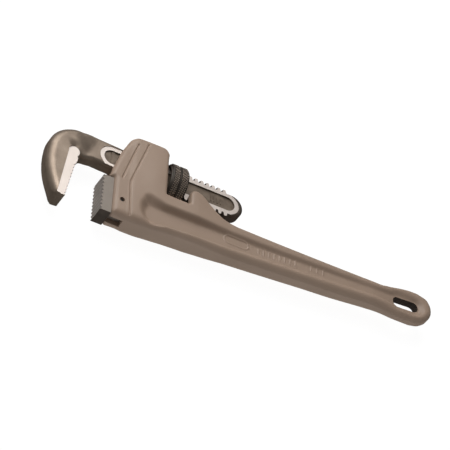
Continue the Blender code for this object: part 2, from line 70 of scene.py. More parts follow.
# %% [markdown]
# ## Helpers for outlines
# A forging or a casting is drawn from the side as arcs and smooth curves. `arc` gives the round
# stretches, and `flow` runs a smooth curve through a few chosen points, in the way that a bent
# batten does on a drawing board. `plate` gives an outline a thickness, as a flame cutter would.

# %% Outlines and plates
def arc(x, y, radius, start, end, step=6.0):
    count = max(2, math.ceil(abs(end - start) / step))
    turns = [math.radians(start + (end - start) * i / count) for i in range(count + 1)]
    return [(x + radius * math.cos(t), y + radius * math.sin(t)) for t in turns]


def flow(points, steps=5):
    """A smooth curve through the points, with a few steps between each two."""
    p = [Vector(q) for q in points]
    p = [2 * p[0] - p[1]] + p + [2 * p[-1] - p[-2]]
    curve = []
    for a, b, c, d in zip(p, p[1:], p[2:], p[3:]):
        for i in range(steps):
            t = i / steps
            curve.append(((2 * b) + (c - a) * t + (2 * a - 5 * b + 4 * c - d) * t**2
                          + (3 * b - a - 3 * c + d) * t**3) / 2)
    return [tuple(q) for q in curve] + [tuple(points[-1])]


def stadium(left, right, middle, radius):
    """A slot with round ends; left and right are the middles of its two ends."""
    return arc(right, middle, radius, -90, 90) + arc(left, middle, radius, 90, 270)


def new_piece(name, work):
    """A bmesh becomes an object; the bmesh is freed."""
    bmesh.ops.recalc_face_normals(work, faces=work.faces)
    mesh = bpy.data.meshes.new(name)
    work.to_mesh(mesh)
    work.free()
    piece = bpy.data.objects.new(name, mesh)
    bpy.context.scene.collection.objects.link(piece)
    return piece


def plate(name, points, low, high):
    """The outline as a solid between two heights."""
    work = bmesh.new()
    under, over = ([work.verts.new((x, y, z)) for x, y in points] for z in (low, high))
    caps = [work.faces.new(under), work.faces.new(over)]
    for i, corner in enumerate(under):
        work.faces.new((under[i - 1], corner, over[i], over[i - 1]))
    bmesh.ops.triangulate(work, faces=caps)
    return new_piece(name, work)


def block(name, low, high):
    corners = [(low[0], low[1]), (high[0], low[1]), (high[0], high[1]), (low[0], high[1])]
    return plate(name, corners, low[2], high[2])


# %% [markdown]
# ## Helpers for modifiers
# A modifier is a live recipe. The casting is worked on in stages, so each stage is settled into
# plain mesh before the next one starts. `carve` cuts or adds one solid with the Manifold solver,
# which stays quick on meshes of a hundred thousand faces.

# %% Settling and carving
def settle(piece):
    """Turn an object's modifiers into plain mesh."""
    bpy.context.view_layer.update()
    solid = piece.evaluated_get(bpy.context.evaluated_depsgraph_get())
    made = bpy.data.meshes.new_from_object(solid)
    piece.modifiers.clear()
    piece.data = made
    return piece


def carve(piece, cutter, operation="DIFFERENCE"):
    step = piece.modifiers.new("carve", "BOOLEAN")
    step.operation = operation
    step.solver = "MANIFOLD"
    step.object = cutter
    settle(piece)
    bpy.data.objects.remove(cutter, do_unlink=True)
    return piece


def join(piece, *others):
    """Add the meshes of other pieces to a piece."""
    work = bmesh.new()
    for part in (piece, *others):
        work.from_mesh(part.data)
    work.to_mesh(piece.data)
    work.free()
    for part in others:
        bpy.data.objects.remove(part, do_unlink=True)
    return piece


def bevel(piece, width, segments=2, angle=30.0):
    step = piece.modifiers.new("bevel", "BEVEL")
    step.width = width
    step.segments = segments
    step.limit_method = "ANGLE"
    step.angle_limit = math.radians(angle)
    return settle(piece)


def rod(name, radius, start, end, sides=32):
    """A round bar from one point to another."""
    start, end = Vector(start), Vector(end)
    work = bmesh.new()
    bmesh.ops.create_cone(work, cap_ends=True, segments=sides, radius1=radius, radius2=radius,
                          depth=(end - start).length)
    turn = (end - start).to_track_quat("Z", "Y").to_matrix().to_4x4()
    bmesh.ops.transform(work, verts=work.verts, matrix=Matrix.Translation((start + end) / 2) @ turn)
    return new_piece(name, work)


def points_of(piece):
    found = np.empty(len(piece.data.vertices) * 3, np.float32)
    piece.data.vertices.foreach_get("co", found)
    return found.reshape(-1, 3).astype(float)


def move_points(piece, places):
    piece.data.vertices.foreach_set("co", places.astype(np.float32).ravel())
    piece.data.update()


def into_frame(piece, sharp=None):
    """Carry a finished piece from the drawing, in millimetres, into the frame."""
    piece.data.transform(TO_FRAME)
    piece.data.shade_smooth()
    if sharp is not None:
        piece.data.set_sharp_from_angle(angle=math.radians(sharp))
    print(piece.name, "has", sum(len(f.vertices) - 2 for f in piece.data.polygons), "triangles")
    return piece


# %% [markdown]
# ## Helpers for surfaces drawn as heights
# A casting comes out of a two-part mould and a forging out of two dies, so both sides are the same
# and every point of the surface has one height over the middle plane. That makes a good recipe:
# an evenly meshed slab of the right outline, and a formula that says how high each point is.
# `distance` measures how far points are from a line of the drawing, which the formulas build on.

# %% Distances and ramps
def nearest(x, y, line, values):
    """Distance of every point from an open line, and the line's value at the nearest place on it."""
    near, value = np.full(len(x), 1e9), np.zeros(len(x))
    for (ax, ay), (bx, by), start, end in zip(line, line[1:], values, values[1:]):
        dx, dy = bx - ax, by - ay
        t = np.clip(((x - ax) * dx + (y - ay) * dy) / max(dx * dx + dy * dy, 1e-12), 0, 1)
        gap = np.hypot(x - ax - t * dx, y - ay - t * dy)
        closer = gap < near
        near = np.where(closer, gap, near)
        value = np.where(closer, start + (end - start) * t, value)
    return near, value


def distance(x, y, line):
    return nearest(x, y, line, [0] * len(line))[0]


def inside(x, y, ring):
    """Signed distance from a closed ring of points, positive inside it."""
    within = np.zeros(len(x), bool)
    for (ax, ay), (bx, by) in zip(ring, ring[1:] + ring[:1]):
        if ay != by:
            within ^= ((ay > y) != (by > y)) & (x < (bx - ax) * (y - ay) / (by - ay) + ax)
    return np.where(within, 1, -1) * distance(x, y, ring + ring[:1])


def ramp(value, low, high):
    """0 below low, 1 above high, and a soft S between them."""
    t = np.clip((value - low) / (high - low), 0, 1)
    return t * t * (3 - 2 * t)


def ring_of(*stretches):
    """Join stretches, each (points, edge radius), into a ring of points and a soft run of radii."""
    ring, radii = [], []
    for points, radius in stretches:
        for point in points:
            if not ring or math.dist(point, ring[-1]) > 0.05:
                ring.append(point)
                radii.append(radius)
    for _ in range(3):
        radii = [(a + b + c) / 3 for a, b, c in zip([radii[-1]] + radii, radii, radii[1:] + radii[:1])]
    return ring, radii


STEEPEST = 0.96  # share of an edge radius at which its quarter circle stops, short of upright


def edge_fall(x, y, ring, radii):
    """How far the surface falls near an edge that is rounded to the radius given round the ring."""
    near, radius = nearest(x, y, ring + ring[:1], radii + radii[:1])
    t = np.clip(1 - near / radius, 0, STEEPEST)
    return radius * (1 - np.sqrt(1 - t * t))


def moulded(name, outline, half, voxel, rounds, swell, height):
    """A slab of the outline, meshed evenly, pressed to the height formula and then softened.
    Softening draws the skin in a little, so it is swelled back by that much."""
    piece = plate(name, outline, -half, half)
    mesher = piece.modifiers.new("even_mesh", "REMESH")
    mesher.mode = "VOXEL"
    mesher.voxel_size = voxel
    settle(piece)
    places = points_of(piece)
    places[:, 2] *= height(places[:, 0], places[:, 1]) / half
    move_points(piece, places)
    soften = piece.modifiers.new("soften", "SMOOTH")
    soften.factor = 0.5
    soften.iterations = rounds
    settle(piece)
    normals = np.empty(len(piece.data.vertices) * 3, np.float32)
    piece.data.vertex_normals.foreach_get("vector", normals)
    move_points(piece, points_of(piece) + normals.reshape(-1, 3) * swell)
    return piece


# %% [markdown]
# ## The casting
# Handle, grip and housing are one iron casting. From the side it has a tall housing for the hook's
# shank, a window for the nut, two ears behind it and a long I-section grip that ends in a hang
# hole. It could be built from boxes with bevels, but its edges swell and fade as moulding sand
# leaves them, so it is made as heights over the parting plane.

# %% Side view of the casting
HOUSING_FRONT = [(6.0, -12.2), (6.0, 30.6), (1.6, 31.4)]
HOUSING_FRONT += flow([(1.6, 31.4), (5.6, 47.5), (12.6, 69.0), (18.3, 81.0)])
HOUSING_TOP = flow([(18.0, 81.3), (21.0, 86.8), (25.2, 90.5), (30.5, 92.0), (53.5, 92.4), (59.4, 90.6),
                    (62.2, 86.0)])
WINDOW = [(61.4, 80.0), (61.2, 33.0), (87.7, 33.0), (87.7, 46.6)]
EARS = flow([(87.7, 46.6), (89.4, 50.4), (92.9, 52.6), (97.0, 52.2), (103.0, 49.6), (111.0, 42.8),
             (121.0, 36.0), (130.0, 32.4), (142.0, 31.0)])
GRIP_BACK = flow([(142.0, 31.0), (213.0, 31.5), (300.0, 33.1), (318.0, 35.6), (334.0, 39.2),
                  (346.0, 41.4)])
TAIL = flow([(354.6, 41.8), (363.8, 39.6), (368.2, 36.5), (371.5, 29.8), (371.9, 23.0), (369.5, 16.6),
             (365.6, 11.6), (358.6, 6.4)])
GRIP_FRONT = flow([(350.0, 4.2), (329.0, 4.0), (304.0, 5.5), (259.0, 1.1), (226.0, -1.1), (191.0, -3.9),
                   (157.0, -6.5), (123.0, -8.8), (100.0, -9.5), (69.0, -11.3), (46.0, -13.8), (30.0, -14.3),
                   (8.0, -14.2)])
HANDLE_RING, HANDLE_RADII = ring_of((HOUSING_FRONT, 3.4), (HOUSING_TOP, 4.2), (WINDOW, 2.4), (EARS, 3.4),
                                    (GRIP_BACK, 4.2), (TAIL, 6.0), (GRIP_FRONT, 7.0))
RECESS = flow([(45.0, 15.4), (41.5, 8.5), (43.0, -1.5), (51.0, -5.6), (70.0, -5.2), (157.0, 1.8),
               (226.0, 7.2), (304.0, 14.0), (326.0, 13.4)])
RECESS += arc(350.0, 22.4, 8.8, -90, 90)
RECESS += flow([(330.0, 29.0), (300.0, 25.0), (213.0, 20.8), (142.0, 18.8), (54.0, 17.2),
                (45.0, 15.4)])[:-1]
HALF_WIDTH_X = [-2.0, 20.0, 26.0, 96.0, 135.0, 300.0, 322.0, 380.0]
HALF_WIDTH = [13.0, 13.0, 13.8, 13.8, 10.8, 9.0, 7.5, 7.5]
RECESS_SOFT_X = [46.0, 62.0]  # the recess starts further outside its line near the housing
RECESS_SOFT = [-9.0, -2.8]
RECESS_FULL = 2.4
WEB_X = [300.0, 332.0]  # the web between the flanges thins towards the tail
WEB_HALF = [6.6, 4.1]
HANG_MIDDLE = (340.6, 21.4)
HANG_SLOT = stadium(331.6, 349.6, HANG_MIDDLE[1], 6.1)
HANG_TILT = 4.0  # degrees
HANG_REACH = 8.0
CHEEK_SWELL = 1.3
CHEEK_MIDDLE, CHEEK_SPREAD = (50, 52), (15, 24)
print("casting outline:", len(HANDLE_RING), "points")


# %% Height of the casting
def casting_height(x, y):
    height = np.interp(x, HALF_WIDTH_X, HALF_WIDTH) - edge_fall(x, y, HANDLE_RING, HANDLE_RADII)
    across, up = (x - CHEEK_MIDDLE[0]) / CHEEK_SPREAD[0], (y - CHEEK_MIDDLE[1]) / CHEEK_SPREAD[1]
    height += CHEEK_SWELL * np.exp(-across**2 - up**2)
    sunk = ramp(inside(x, y, RECESS), np.interp(x, RECESS_SOFT_X, RECESS_SOFT), RECESS_FULL)
    sunk = np.maximum(sunk, 1 - ramp(-inside(x, y, HANG_SLOT), 0.0, HANG_REACH))
    return height + (np.minimum(height, np.interp(x, WEB_X, WEB_HALF)) - height) * sunk


casting = moulded("wrench_casting", HANDLE_RING, half=14.0, voxel=0.85, rounds=8, swell=0.4,
                  height=casting_height)
print("casting blank:", len(casting.data.polygons), "faces")

# %% Cast lines and pads
CHEEK_LINES = [flow([(27.2, 81.0), (19.8, 55.5), (13.2, 32.1)], 4),
               [(38.2, 86.0), (22.4, 32.5), (22.0, 28.0), (24.0, -10.4)]]
BLANK_PAD = stadium(134.0, 152.0, 12.6, 4.6)
BLANK_PAD += BLANK_PAD[:1]
STROKES_X = (168, 174, 180, 186, 192, 198, 204, 210, 228, 235, 242)
STROKE_LOW, STROKE_HIGH, STROKE_RISE = 9.4, 14.8, 0.075
PLAIN_STROKES = [[(x, end + (x - 166) * STROKE_RISE) for end in (STROKE_LOW, STROKE_HIGH)]
                 for x in STROKES_X]
print("cast marks:", len(CHEEK_LINES), "lines on the cheek, a blank pad,", len(PLAIN_STROKES), "strokes")


def score(piece, lines, half_width, depth, reach, above):
    """Press lines into both sides of a piece where it is thicker than above, on a mesh made finer
    beside them. A negative depth raises them instead."""
    work = bmesh.new()
    work.from_mesh(piece.data)
    work.edges.ensure_lookup_table()
    middles = np.array([(e.verts[0].co + e.verts[1].co) / 2 for e in work.edges])
    near = np.min([distance(middles[:, 0], middles[:, 1], line) for line in lines], axis=0) < reach
    near &= np.abs(middles[:, 2]) > above
    beside = [work.edges[i] for i in np.nonzero(near)[0]]
    bmesh.ops.subdivide_edges(work, edges=beside, cuts=1, use_grid_fill=True)
    work.to_mesh(piece.data)
    work.free()
    places = points_of(piece)
    gap = np.min([distance(places[:, 0], places[:, 1], line) for line in lines], axis=0)
    pressed = depth * np.exp(-(gap / half_width)**2) * ramp(np.abs(places[:, 2]), above - 1, above + 1)
    places[:, 2] -= np.sign(places[:, 2]) * pressed
    move_points(piece, places)


score(casting, CHEEK_LINES, half_width=0.85, depth=1.25, reach=2.4, above=9.0)
score(casting, [BLANK_PAD], half_width=0.75, depth=-0.5, reach=1.6, above=3.0)
score(casting, PLAIN_STROKES, half_width=0.7, depth=-0.4, reach=1.5, above=3.0)

# %% Machined cuts in the casting
CHANNEL_HALF = 7.7
CHANNEL_TOP = 76.9
TANG_SLOT_HALF = 4.8
PIN_AT = (14.8, 4.2)
PIN_BORE_R = 2.7
COIL_X = 22.0
COIL_FLOOR = 23.4
THROUGH = 20.0  # half the length of a cutter that goes right through
carve(casting, block("channel", (-5.0, 35.4, -CHANNEL_HALF), (66.0, CHANNEL_TOP, CHANNEL_HALF)))
carve(casting, block("ear_slot", (80.0, 38.2, -CHANNEL_HALF), (140.0, CHANNEL_TOP, CHANNEL_HALF)))
carve(casting, block("tang_slot", (-5.0, -25.0, -TANG_SLOT_HALF), (21.0, 18.3, TANG_SLOT_HALF)))
carve(casting, rod("pin_bore", PIN_BORE_R, (*PIN_AT, -THROUGH), (*PIN_AT, THROUGH)))
carve(casting, rod("coil_pocket", 5.0, (COIL_X, COIL_FLOOR, 0.0), (COIL_X, 40.0, 0.0)))
hang_slot = plate("hang_slot", HANG_SLOT, -THROUGH, THROUGH)
to_middle = Matrix.Translation((*HANG_MIDDLE, 0.0))
tilt = Matrix.Rotation(math.radians(HANG_TILT), 4, "Z")
hang_slot.data.transform(to_middle @ tilt @ to_middle.inverted())
carve(casting, hang_slot)
into_frame(casting, 35.0)

# %% [markdown]
# ## The hook jaw
# The hook jaw is a drop forging: a thick curved head that thins into the neck, and a shank that is
# milled flat on both sides, cut with a coarse thread above and below, and panelled. The forging is
# made as heights, in the same way as the casting, and the milled parts are then cut crisp.

# %% Side view of the forging
SHANK_Y = 58.5
THROAT = (-35.4, 29.0)
TIP = (-42.6, -14.6)
HEAD_BACK = flow([(-49.9, -15.4), (-54.2, -12.2), (-58.0, -3.0), (-61.3, 6.6), (-63.4, 15.8),
                  (-64.5, 27.0), (-64.1, 41.3), (-62.1, 52.2), (-58.0, 61.1), (-51.2, 68.7),
                  (-43.0, 73.2), (-35.3, 75.4), (-27.0, 76.0)], 4)
NECK_TOP = flow([(-27.0, 76.0), (-12.0, 75.6), (4.0, 75.0), (16.0, 74.2)]) + [(19.0, 72.1)]
SHANK_TAIL = arc(135.2, SHANK_Y, 13.6, 90, -90)
NECK_UNDER = [(16.0, 44.9), (4.0, 45.9), (-16.0, 46.8)]
NECK_UNDER += flow([(-16.0, 46.8), (-27.0, 44.3), (-31.2, 39.2), THROAT])
HOOK_RING, HOOK_RADII = ring_of(([TIP], 1.2), (HEAD_BACK[:2], 2.0), (HEAD_BACK[3:], 7.5), (NECK_TOP, 3.0),
                                (SHANK_TAIL, 3.0), (NECK_UNDER[:-3], 3.4), (NECK_UNDER[-3:-1], 1.5))
HOOK_RING.append(THROAT)
HOOK_RADII.append(1.0)
BULB = (-38.3, 43.9, 6.0)  # the round end of the milled strip: x, y and radius
HEAD_HALF = 10.5
NECK_HALF = 7.0
SHANK_HALF = 6.5
THINNING_Y = [42.0, 74.0]  # at the throat and at the crown
THINNING_START = [-33.0, -42.0]
THINNING_END = [-26.0, -10.0]
HOLLOW_DEPTH, HOLLOW_AT, HOLLOW_SPREAD = 2.2, 2.0, 5.0


def forging_height(x, y):
    start, end = np.interp(y, THINNING_Y, THINNING_START), np.interp(y, THINNING_Y, THINNING_END)
    height = HEAD_HALF - (HEAD_HALF - NECK_HALF) * ramp((x - start) / (end - start), 0.0, 1.0)
    around = np.degrees(np.arctan2(y - BULB[1], x - BULB[0]))
    hollow = ramp(around, -75.0, -30.0) * ramp(-around, -135.0, -70.0)
    away = np.hypot(x - BULB[0], y - BULB[1]) - BULB[2]
    height -= HOLLOW_DEPTH * hollow * np.exp(-((away - HOLLOW_AT) / HOLLOW_SPREAD)**2)
    return height - edge_fall(x, y, HOOK_RING, HOOK_RADII)


hook = moulded("hook_jaw_forging", HOOK_RING, half=HEAD_HALF, voxel=0.7, rounds=6, swell=0.3,
               height=forging_height)
print("hook blank:", len(hook.data.polygons), "faces")

# %% [markdown]
# ## The thread
# One helix is used twice: added to the shank as its teeth, and, a little larger, cut out of the
# nut. It is a small profile carried round the shank's axis, one pitch along for each turn.

# %% One helix
PITCH = 6.35
THREAD_START = 19.0
THREAD_END = 134.0
THREAD_TIP_R, THREAD_BASE_R = 17.6, 12.5
THREAD_TIP_HALF = 1.3
THREAD_FLANK = 14.5  # degrees
NUT_CLEARANCE = 0.42


def helix(name, start, turns, grow, steps=48):
    """The thread as one solid; grow makes it larger all round, for cutting its mate."""
    tip, base = THREAD_TIP_R + grow, THREAD_BASE_R
    tip_half = THREAD_TIP_HALF + 0.6 * grow
    base_half = tip_half + (tip - base) * math.tan(math.radians(THREAD_FLANK))
    profile = [(-base_half, base), (base_half, base), (tip_half + 0.1, tip - 0.3), (tip_half - 0.25, tip),
               (0.25 - tip_half, tip), (-tip_half - 0.1, tip - 0.3)]
    work = bmesh.new()
    rings = []
    for i in range(turns * steps + 1):
        angle = 2 * math.pi * i / steps
        along = start + PITCH * i / steps
        rings.append([work.verts.new((along + x, SHANK_Y + r * math.cos(angle), r * math.sin(angle)))
                      for x, r in profile])
    for a, b in zip(rings, rings[1:]):
        for i in range(len(profile)):
            work.faces.new((a[i - 1], a[i], b[i], b[i - 1]))
    work.faces.new(rings[0])
    work.faces.new(rings[-1])
    return new_piece(name, work)


# %% Milled shank
FLAT_LEFT, FLAT_RIGHT, FLAT_R = 3.3, 130.8, 13.3
RACK_LEFT = 16.0
CLEAR_LOW, CLEAR_HIGH = 30.0, 87.0  # clear of the teeth, below and above
MILLED = arc(FLAT_LEFT, SHANK_Y, FLAT_R, 90, 270)
MILLED += [(RACK_LEFT, SHANK_Y - FLAT_R), (RACK_LEFT, CLEAR_LOW), (FLAT_RIGHT, CLEAR_LOW)]
MILLED += arc(FLAT_RIGHT, SHANK_Y, FLAT_R, -90, 90)
MILLED += [(FLAT_RIGHT, CLEAR_HIGH), (RACK_LEFT, CLEAR_HIGH), (RACK_LEFT, SHANK_Y + FLAT_R)]
BOSS = arc(*BULB, -60, 190) + [(-50.6, -12.0), TIP, THROAT]
POCKET = arc(*BULB, -35, 190) + [(-51.4, -13.6), (-43.0, -16.0), (-38.0, -16.0), (-31.4, 29.0)]
PANEL = stadium(FLAT_LEFT, FLAT_RIGHT, SHANK_Y, 8.6)
POCKET_Z = 9.6
PANEL_Z = 4.7
# raised ribs in the panel: left edge, width and half length
RIBS = [(2.6, 3.6, 9.0)] + [(x, 1.1, 3.4) for x in (113.0, 116.5, 120.0, 123.5)]
OUTSIDE = 15.0  # well clear of the forging's sides
carve(hook, plate("boss", BOSS, -POCKET_Z, POCKET_Z), "UNION")
for side in (1, -1):
    for name, outline, start in (("mill", MILLED, SHANK_HALF), ("pocket", POCKET, POCKET_Z)):
        low, high = sorted((side * start, side * OUTSIDE))
        carve(hook, plate(name, outline, low, high))
turns = round((THREAD_END - THREAD_START) / PITCH)
teeth = block("teeth", (0.0, CLEAR_LOW, -SHANK_HALF), (150.0, CLEAR_HIGH, SHANK_HALF))
carve(teeth, helix("thread", THREAD_START, turns, 0.0), "INTERSECT")
carve(hook, teeth, "UNION")
for side in (1, -1):
    low, high = sorted((side * PANEL_Z, side * OUTSIDE))
    carve(hook, plate("panel", PANEL, low, high))
    low, high = sorted((side * (PANEL_Z - 0.5), side * (PANEL_Z + 0.8)))
    ribs = [block("rib", (x, SHANK_Y - reach, low), (x + wide, SHANK_Y + reach, high))
            for x, wide, reach in RIBS]
    carve(hook, join(*ribs), "UNION")
print("hook after milling:", len(hook.data.polygons), "faces")


# %% [markdown]
# ## Jaw teeth
# Both jaws bite with a row of ten saw teeth that run straight across the jaw. They could be cut one
# by one with a tilted block, but a zigzag outline, closed behind, cuts the whole row at once, as a
# broach does.

# %% Saw teeth
TEETH = 10
VALLEY, LAND = 0.45, 0.8  # shares of a tooth's pitch at which its valley and its land come


def broach(name, start, end, depth, clear):
    """A plate with a zigzag edge from start to end; the teeth's narrow lands lie on that line."""
    start, end, clear = Vector(start), Vector(end), Vector(clear)
    along = (end - start) / TEETH
    inward = -clear.normalized() * depth
    edge = []
    for i in range(TEETH):
        edge += [start + along * i, start + along * (i + VALLEY) + inward, start + along * (i + LAND)]
    edge += [end, end + along, end + along + clear, start + clear]
    return plate(name, [tuple(p) for p in edge], -OUTSIDE, OUTSIDE)


carve(hook, broach("hook_broach", THROAT, TIP, 1.6, (5.0, -0.8)))
into_frame(hook, 32.0)

# %% [markdown]
# ## The heel jaw
# A hardened steel block with teeth on its face and a narrower tang behind, which goes into the
# casting and is held by one pin. It is sawn from bar, so a plain block is the right start: its teeth
# are cut, its edges are eased by a bevel, and the tang is added last so that it stays sharp.

# %% Heel jaw
HEEL_HALF = 10.5
HEEL_FACE, HEEL_BACK, HEEL_LOW = -6.1, 5.7, -15.2
HEEL_SIDE = [(HEEL_FACE, HEEL_LOW), (HEEL_BACK, HEEL_LOW), (HEEL_BACK, 30.0), (HEEL_FACE, 29.4)]
TANG_HALF = 4.5
heel = plate("heel_jaw_block", HEEL_SIDE, -HEEL_HALF, HEEL_HALF)
carve(heel, broach("heel_broach", (HEEL_FACE, 30.0), (HEEL_FACE, HEEL_LOW), 2.0, (-5.0, 0.0)))
bevel(heel, 0.25, 1)
carve(heel, block("heel_tang", (0.0, -9.0, -TANG_HALF), (20.4, 18.0, TANG_HALF)), "UNION")
carve(heel, rod("heel_bore", PIN_BORE_R, (*PIN_AT, -6.0), (*PIN_AT, 6.0)))
into_frame(heel, 25.0)

# %% [markdown]
# ## The nut
# The adjusting nut is turned from bar, threaded, and knurled for the thumb in two bands with a
# groove between them. The drum is spun from its half section and the helix is cut out of it.

# %% Turned and threaded drum
NUT_R = 21.3
KNURL_DEPTH = 0.8
DRUM_R = NUT_R - KNURL_DEPTH
BORE_R = 15.4
SECTION = [(81.2, BORE_R + 0.6), (81.2, 20.0), (80.2, DRUM_R), (73.0, DRUM_R), (72.6, 20.1), (71.4, 20.1),
           (71.0, DRUM_R), (64.9, DRUM_R), (64.1, 20.1), (64.1, 18.8), (62.7, 18.4), (62.7, BORE_R + 0.6),
           (63.3, BORE_R), (80.6, BORE_R)]


def turned(name, section, sides):
    """A ring spun about the shank's axis from its half section."""
    work = bmesh.new()
    verts = [work.verts.new((x, SHANK_Y + r, 0.0)) for x, r in section]
    edges = [work.edges.new((verts[i - 1], verts[i])) for i in range(len(verts))]
    bmesh.ops.spin(work, geom=verts + edges, cent=(0, SHANK_Y, 0), axis=(1, 0, 0), angle=2 * math.pi,
                   steps=sides, use_duplicate=False)
    bmesh.ops.remove_doubles(work, verts=work.verts, dist=0.001)
    return new_piece(name, work)


nut = turned("knurled_nut", SECTION, 96)
carve(nut, helix("nut_thread", THREAD_START + 6 * PITCH, 5, NUT_CLEARANCE))

# %% [markdown]
# ## The knurl
# A knurling wheel rolls rows of small diamonds into the drum. Geometry Nodes is made for that: one
# four-sided stud with a flat top, set on points counted off in rows, every second row half a step
# round. The number of studs round the drum and the pitch are inputs, so a coarser knurl is one
# change.

# %% Knurl by Geometry Nodes
def add(tree, kind, inputs=None, **settings):
    """One node with its settings. An input is given a value, or is joined to another node's socket."""
    node = tree.nodes.new(kind)
    for name, value in settings.items():
        setattr(node, name, value)
    for name, value in (inputs or {}).items():
        if isinstance(value, bpy.types.NodeSocket):
            tree.links.new(value, node.inputs[name])
        else:
            node.inputs[name].default_value = value
    return node


def math_node(tree, operation, a, b=0.0):
    return add(tree, "ShaderNodeMath", {0: a, 1: b}, operation=operation).outputs[0]


STUD_FOOT, STUD_TOP = 1.02, 0.44  # shares of the half step between two studs
STUD_SUNK = 0.05


def knurl_tree():
    tree = bpy.data.node_groups.new("diamond_knurl", "GeometryNodeTree")
    tree.interface.new_socket("Geometry", in_out="OUTPUT", socket_type="NodeSocketGeometry")
    for name, kind in (("Start", "Float"), ("Rows", "Int"), ("Round", "Int"), ("Radius", "Float"),
                       ("Depth", "Float"), ("Finish", "Material")):
        tree.interface.new_socket(name, in_out="INPUT", socket_type="NodeSocket" + kind)
    given = tree.nodes.new("NodeGroupInput").outputs
    count = math_node(tree, "MULTIPLY", given["Rows"], given["Round"])
    line = add(tree, "GeometryNodeMeshLine", {"Count": count})
    index = tree.nodes.new("GeometryNodeInputIndex").outputs[0]
    row = math_node(tree, "FLOOR", math_node(tree, "DIVIDE", index, given["Round"]))
    place = math_node(tree, "ADD", index, math_node(tree, "MULTIPLY", row, 0.5))
    angle = math_node(tree, "DIVIDE", math_node(tree, "MULTIPLY", place, 2 * math.pi), given["Round"])
    half_round = math_node(tree, "MULTIPLY", given["Radius"], math.pi)
    half_step = math_node(tree, "DIVIDE", half_round, given["Round"])
    along = math_node(tree, "ADD", given["Start"], math_node(tree, "MULTIPLY", row, half_step))
    sunk = math_node(tree, "ADD", given["Radius"], -STUD_SUNK)
    minus = math_node(tree, "MULTIPLY", sunk, -1.0)
    across = math_node(tree, "MULTIPLY", math_node(tree, "SINE", angle), minus)
    up = math_node(tree, "MULTIPLY", math_node(tree, "COSINE", angle), sunk)
    spot = add(tree, "ShaderNodeCombineXYZ", {0: along, 1: across, 2: up})
    placed = add(tree, "GeometryNodeSetPosition",
                 {"Geometry": line.outputs[0], "Position": spot.outputs[0]})
    foot = math_node(tree, "MULTIPLY", half_step, STUD_FOOT)
    top = math_node(tree, "MULTIPLY", half_step, STUD_TOP)
    stud = add(tree, "GeometryNodeMeshCone",
               {"Vertices": 4, "Radius Bottom": foot, "Radius Top": top, "Depth": given["Depth"]})
    turn = add(tree, "ShaderNodeCombineXYZ", {0: angle})
    studs = add(tree, "GeometryNodeInstanceOnPoints",
                {"Points": placed.outputs[0], "Instance": stud.outputs[0], "Rotation": turn.outputs[0]})
    solid = add(tree, "GeometryNodeRealizeInstances", {0: studs.outputs[0]})
    painted = add(tree, "GeometryNodeSetMaterial",
                  {"Geometry": solid.outputs[0], "Material": given["Finish"]})
    out = tree.nodes.new("NodeGroupOutput")
    tree.links.new(painted.outputs[0], out.inputs[0])
    return tree


def grow(name, tree, **values):
    """An object made by a Geometry Nodes tree alone, settled into plain mesh."""
    piece = new_piece(name, bmesh.new())
    nodes = piece.modifiers.new("grow", "NODES")
    nodes.node_group = tree
    for item in tree.interface.items_tree:
        if item.in_out == "INPUT" and item.name in values:
            nodes[item.identifier] = values[item.name]
    return settle(piece)


KNURL_TREE = knurl_tree()
KNURL_BANDS = ((65.0, 70.9), (73.1, 80.1))
ROUND = 60
STEP = math.pi * DRUM_R / ROUND
bands = []
for start, end in KNURL_BANDS:
    rows = int((end - start) / STEP)
    first = (start + end - (rows - 1) * STEP) / 2
    band = grow("knurl_band", KNURL_TREE, Start=first, Rows=rows, Round=ROUND, Radius=DRUM_R,
                Depth=KNURL_DEPTH)
    band.data.transform(Matrix.Translation((0, SHANK_Y, 0)))
    bands.append(band)
join(nut, *bands)
into_frame(nut, 25.0)

# %% [markdown]
# ## The coil spring
# A small coil under the flat spring pushes the hook open. It is a round wire wound on a helix whose
# first and last turns lie close, as ground ends do.

# %% Coil spring
COIL_LOW, COIL_HIGH = 24.4, 37.2
COIL_R = 3.9
COIL_TURNS, STEPS_ROUND = 7, 24
WIRE_R = 0.6
CLOSE_ENDS = 0.045  # how far the even rise is drawn towards the two ends


def coil_spring():
    curve = bpy.data.curves.new("coil_spring_wire", "CURVE")
    curve.dimensions = "3D"
    curve.bevel_depth = WIRE_R
    curve.bevel_resolution = 3
    curve.use_fill_caps = True
    spline = curve.splines.new("POLY")
    count = COIL_TURNS * STEPS_ROUND
    spline.points.add(count)
    for i, point in enumerate(spline.points):
        t = i / count
        rise = t - math.sin(4 * math.pi * t) * CLOSE_ENDS
        angle = 2 * math.pi * i / STEPS_ROUND
        point.co = (COIL_X + COIL_R * math.cos(angle), COIL_LOW + (COIL_HIGH - COIL_LOW) * rise,
                    COIL_R * math.sin(angle), 1)
    drawn = bpy.data.objects.new("wire", curve)
    bpy.context.scene.collection.objects.link(drawn)
    bpy.context.view_layer.update()
    mesh = bpy.data.meshes.new_from_object(drawn.evaluated_get(bpy.context.evaluated_depsgraph_get()))
    bpy.data.objects.remove(drawn, do_unlink=True)
    work = bmesh.new()
    work.from_mesh(mesh)
    bmesh.ops.remove_doubles(work, verts=work.verts, dist=0.001)
    return new_piece("coil_spring_wire", work)


coil = into_frame(coil_spring(), 60.0)

# %% [markdown]
# ## Finishes
# Every finish is a node material that reads Object coordinates, in metres, so its grain has a real
# size. An image could be wrapped round each piece instead, but noise needs no unwrapping and never
# repeats. Each finish has a slow change of tone, a fine grain that drives roughness, and two bumps.

